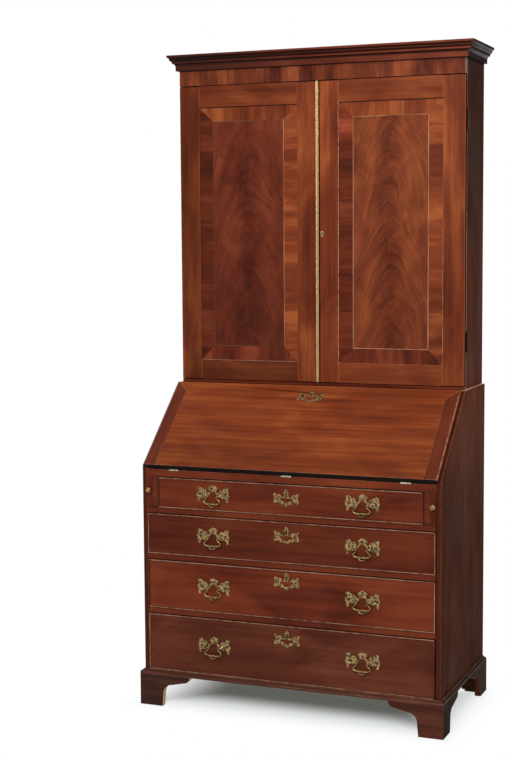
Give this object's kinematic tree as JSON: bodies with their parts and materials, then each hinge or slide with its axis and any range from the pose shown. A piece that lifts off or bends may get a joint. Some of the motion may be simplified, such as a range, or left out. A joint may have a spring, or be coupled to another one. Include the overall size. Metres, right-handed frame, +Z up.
{
  "type": "bureau bookcase",
  "caption": "Mahogany bureau bookcase: sloping fall front over graduated long drawers on bracket feet, with a two-door panelled bookcase and moulded cornice above.",
  "frame": {"origin": "on the floor, under the middle of the bounding box", "axes": "+Z up, -Y towards the front that is written at, +X to the right of someone facing it"},
  "size_m": [1.056, 0.563, 2.15],
  "materials": {
    "mahogany": "waxed red-brown mahogany, satin",
    "panel_veneer": "flame-figured mahogany veneer, satin",
    "lining_wood": "plain oak and pine, dry",
    "stringing": "pale boxwood line, satin",
    "brass": "old cast brass, softly polished"
  },
  "bodies": {
    "carcase": {"bureau_left_side": "mahogany", "bureau_right_side": "mahogany", "bureau_top": "mahogany", "bureau_bottom": "lining_wood", "bureau_backboards": "lining_wood", "writing_bed": "mahogany", "drawer_divisions": "mahogany", "base_moulding": "mahogany", "front_feet": "mahogany", "rear_feet": "mahogany", "pigeonhole_case": "lining_wood", "bookcase_left_side": "mahogany", "bookcase_right_side": "mahogany", "bookcase_top": "mahogany", "bookcase_bottom": "mahogany", "bookcase_backboards": "lining_wood", "bookcase_shelves": "mahogany", "frieze_rail": "mahogany", "cornice": "mahogany", "hinge_fixed_leaves": "brass"},
    "left_door": {"left_door_frame": "mahogany", "left_door_panel": "panel_veneer", "left_door_hinge_leaves": "brass", "brass_astragal": "brass"},
    "right_door": {"right_door_frame": "mahogany", "right_door_panel": "panel_veneer", "right_door_hinge_leaves": "brass", "right_door_lock": "brass"},
    "fall": {"fall_board": "mahogany", "fall_cleats": "mahogany", "fall_lock": "brass", "fall_hinge_leaves": "brass"},
    "left_loper": {"left_loper": "mahogany", "left_loper_knob": "brass"},
    "right_loper": {"right_loper": "mahogany", "right_loper_knob": "brass"},
    "drawer_1": {"drawer_1_front": "mahogany", "drawer_1_box": "lining_wood", "drawer_1_brasses": "brass"},
    "drawer_1_left_bail": {"drawer_1_left_bail": "brass"},
    "drawer_1_right_bail": {"drawer_1_right_bail": "brass"},
    "drawer_2": {"drawer_2_front": "mahogany", "drawer_2_box": "lining_wood", "drawer_2_brasses": "brass"},
    "drawer_2_left_bail": {"drawer_2_left_bail": "brass"},
    "drawer_2_right_bail": {"drawer_2_right_bail": "brass"},
    "drawer_3": {"drawer_3_front": "mahogany", "drawer_3_box": "lining_wood", "drawer_3_brasses": "brass"},
    "drawer_3_left_bail": {"drawer_3_left_bail": "brass"},
    "drawer_3_right_bail": {"drawer_3_right_bail": "brass"},
    "drawer_4": {"drawer_4_front": "mahogany", "drawer_4_box": "lining_wood", "drawer_4_brasses": "brass"},
    "drawer_4_left_bail": {"drawer_4_left_bail": "brass"},
    "drawer_4_right_bail": {"drawer_4_right_bail": "brass"},
    "small_drawer_left_1": {"small_drawer_left_1": "mahogany"},
    "small_drawer_left_2": {"small_drawer_left_2": "mahogany"},
    "small_drawer_right_1": {"small_drawer_right_1": "mahogany"},
    "small_drawer_right_2": {"small_drawer_right_2": "mahogany"}
  },
  "joints": [
    {"name": "left_door_hinge", "type": "hinge", "parent": "carcase", "child": "left_door", "pos_m": [-0.499, 0.06075, 1.552], "axis": [0, 0, -1], "range_deg": [0, 165]},
    {"name": "right_door_hinge", "type": "hinge", "parent": "carcase", "child": "right_door", "pos_m": [0.499, 0.06075, 1.552], "axis": [0, 0, 1], "range_deg": [0, 165]},
    {"name": "fall_hinge", "type": "hinge", "parent": "carcase", "child": "fall", "pos_m": [0, -0.2615, 0.78775], "axis": [1, 0, 0], "range_deg": [0, 138.63]},
    {"name": "left_loper_slide", "type": "slide", "parent": "carcase", "child": "left_loper", "axis": [0, -1, 0], "range_m": [0, 0.29]},
    {"name": "right_loper_slide", "type": "slide", "parent": "carcase", "child": "right_loper", "axis": [0, -1, 0], "range_m": [0, 0.29]},
    {"name": "drawer_1_slide", "type": "slide", "parent": "carcase", "child": "drawer_1", "axis": [0, -1, 0], "range_m": [0, 0.36]},
    {"name": "drawer_1_left_bail_swing", "type": "hinge", "parent": "drawer_1", "child": "drawer_1_left_bail", "pos_m": [-0.253, -0.2725, 0.7118], "axis": [-1, 0, 0], "range_deg": [0, 95]},
    {"name": "drawer_1_right_bail_swing", "type": "hinge", "parent": "drawer_1", "child": "drawer_1_right_bail", "pos_m": [0.253, -0.2725, 0.7118], "axis": [-1, 0, 0], "range_deg": [0, 95]},
    {"name": "drawer_2_slide", "type": "slide", "parent": "carcase", "child": "drawer_2", "axis": [0, -1, 0], "range_m": [0, 0.36]},
    {"name": "drawer_2_left_bail_swing", "type": "hinge", "parent": "drawer_2", "child": "drawer_2_left_bail", "pos_m": [-0.253, -0.2725, 0.5746], "axis": [-1, 0, 0], "range_deg": [0, 95]},
    {"name": "drawer_2_right_bail_swing", "type": "hinge", "parent": "drawer_2", "child": "drawer_2_right_bail", "pos_m": [0.253, -0.2725, 0.5746], "axis": [-1, 0, 0], "range_deg": [0, 95]},
    {"name": "drawer_3_slide", "type": "slide", "parent": "carcase", "child": "drawer_3", "axis": [0, -1, 0], "range_m": [0, 0.36]},
    {"name": "drawer_3_left_bail_swing", "type": "hinge", "parent": "drawer_3", "child": "drawer_3_left_bail", "pos_m": [-0.253, -0.2725, 0.4076], "axis": [-1, 0, 0], "range_deg": [0, 95]},
    {"name": "drawer_3_right_bail_swing", "type": "hinge", "parent": "drawer_3", "child": "drawer_3_right_bail", "pos_m": [0.253, -0.2725, 0.4076], "axis": [-1, 0, 0], "range_deg": [0, 95]},
    {"name": "drawer_4_slide", "type": "slide", "parent": "carcase", "child": "drawer_4", "axis": [0, -1, 0], "range_m": [0, 0.36]},
    {"name": "drawer_4_left_bail_swing", "type": "hinge", "parent": "drawer_4", "child": "drawer_4_left_bail", "pos_m": [-0.253, -0.2725, 0.21335], "axis": [-1, 0, 0], "range_deg": [0, 95]},
    {"name": "drawer_4_right_bail_swing", "type": "hinge", "parent": "drawer_4", "child": "drawer_4_right_bail", "pos_m": [0.253, -0.2725, 0.21335], "axis": [-1, 0, 0], "range_deg": [0, 95]},
    {"name": "small_drawer_left_1_slide", "type": "slide", "parent": "carcase", "child": "small_drawer_left_1", "axis": [0, -1, 0], "range_m": [0, 0.145]},
    {"name": "small_drawer_left_2_slide", "type": "slide", "parent": "carcase", "child": "small_drawer_left_2", "axis": [0, -1, 0], "range_m": [0, 0.145]},
    {"name": "small_drawer_right_1_slide", "type": "slide", "parent": "carcase", "child": "small_drawer_right_1", "axis": [0, -1, 0], "range_m": [0, 0.145]},
    {"name": "small_drawer_right_2_slide", "type": "slide", "parent": "carcase", "child": "small_drawer_right_2", "axis": [0, -1, 0], "range_m": [0, 0.145]}
  ]
}
